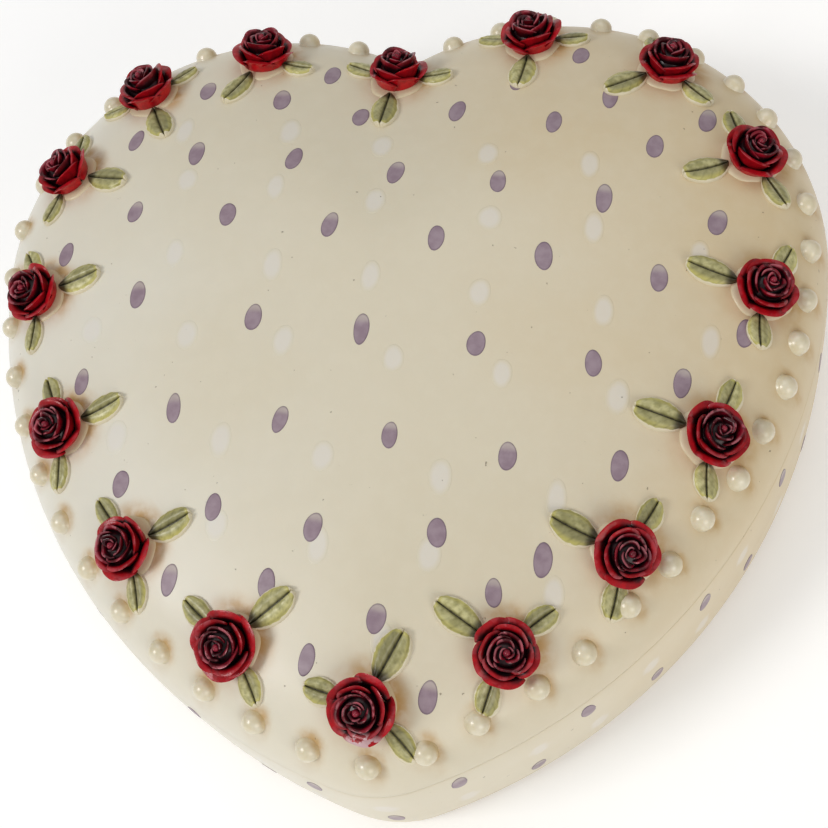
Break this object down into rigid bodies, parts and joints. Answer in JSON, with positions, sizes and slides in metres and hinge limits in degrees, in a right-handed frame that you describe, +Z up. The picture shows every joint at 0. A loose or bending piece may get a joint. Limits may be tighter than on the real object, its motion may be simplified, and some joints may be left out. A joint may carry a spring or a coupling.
{
  "type": "trinket box",
  "caption": "Heart-shaped cast trinket box: cream bowl and lift-off domed lid with lavender dots, ringed by red roses, leaves and half pearls.",
  "frame": {"origin": "under the middle of the box's footprint, on the surface it stands on", "axes": "+Z up; the heart's tip points to -Y and its cleft to +Y; +X to the viewer's right when the tip is nearest"},
  "size_m": [0.1198, 0.1158, 0.0362],
  "materials": {
    "cream_paint": "hand-painted cream on cast resin, soft satin, antiqued with brown wash",
    "rose_enamel": "glossy crimson with a dark wash in the folds and pale worn rims",
    "leaf_paint": "satin sage green with dark veins",
    "pearl_paint": "soft pearly cream",
    "ivory_felt": "short felt",
    "brown_felt": "short felt"
  },
  "bodies": {
    "base": {"base_shell": "cream_paint", "base_felt": "ivory_felt", "foot_felt": "brown_felt"},
    "lid": {"lid_shell": "cream_paint", "rose_01": "rose_enamel", "rose_02": "rose_enamel", "rose_03": "rose_enamel", "rose_04": "rose_enamel", "rose_05": "rose_enamel", "rose_06": "rose_enamel", "rose_07": "rose_enamel", "rose_08": "rose_enamel", "rose_09": "rose_enamel", "rose_10": "rose_enamel", "rose_11": "rose_enamel", "rose_12": "rose_enamel", "rose_13": "rose_enamel", "rose_14": "rose_enamel", "rose_15": "rose_enamel", "rose_16": "rose_enamel", "rose_leaves_01": "leaf_paint", "rose_leaves_02": "leaf_paint", "rose_leaves_03": "leaf_paint", "rose_leaves_04": "leaf_paint", "rose_leaves_05": "leaf_paint", "rose_leaves_06": "leaf_paint", "rose_leaves_07": "leaf_paint", "rose_leaves_08": "leaf_paint", "rose_leaves_09": "leaf_paint", "rose_leaves_10": "leaf_paint", "rose_leaves_11": "leaf_paint", "rose_leaves_12": "leaf_paint", "rose_leaves_13": "leaf_paint", "rose_leaves_14": "leaf_paint", "rose_leaves_15": "leaf_paint", "rose_leaves_16": "leaf_paint", "pearl_strand_01": "pearl_paint", "pearl_strand_02": "pearl_paint", "pearl_strand_03": "pearl_paint", "pearl_strand_04": "pearl_paint", "pearl_strand_05": "pearl_paint", "pearl_strand_06": "pearl_paint", "pearl_strand_07": "pearl_paint", "pearl_strand_08": "pearl_paint", "pearl_strand_09": "pearl_paint", "pearl_strand_10": "pearl_paint", "pearl_strand_11": "pearl_paint"}
  },
  "joints": [
    {"name": "lid_lift", "type": "slide", "parent": "base", "child": "lid", "axis": [0, 0, 1], "range_m": [0, 0.05]}
  ]
}
